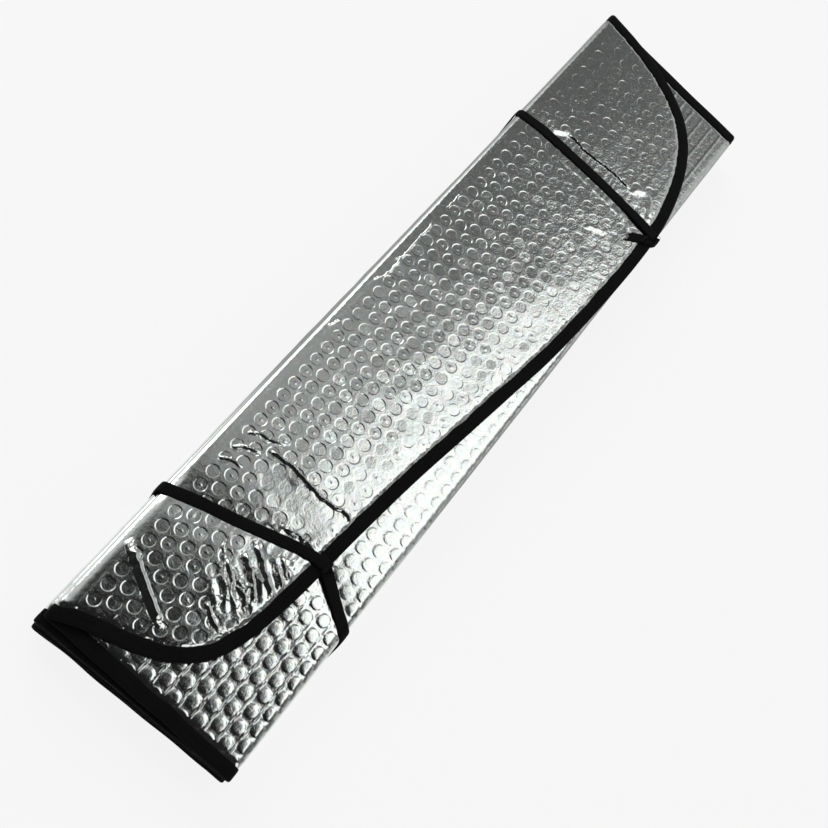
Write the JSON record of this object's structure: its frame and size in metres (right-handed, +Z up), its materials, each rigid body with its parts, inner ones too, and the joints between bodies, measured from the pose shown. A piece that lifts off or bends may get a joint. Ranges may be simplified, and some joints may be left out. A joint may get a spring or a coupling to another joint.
{
  "type": "folded car sunshade",
  "caption": "Car windscreen sunshade of silver bubble foil, pleated into a flat pack, bound with black tape and held shut by elastic straps.",
  "frame": {"origin": "middle of the pack's footprint, on the surface that it lies on", "axes": "+Y along the pack's length, away from the near strap towards the far one; +Z up through the stack of panels; +X towards the free edge of the top panel"},
  "size_m": [0.1356, 0.6058, 0.0353],
  "materials": {
    "foil": "bright crinkled film",
    "tape": "matt woven",
    "elastic": "matt ribbed",
    "thread": "matt twisted"
  },
  "bodies": {
    "root": {"foil_sheet": "foil", "edge_binding": "tape", "strap_near": "elastic", "strap_far": "elastic", "strap_tack_near": "thread", "strap_tack_far": "thread"}
  },
  "joints": []
}
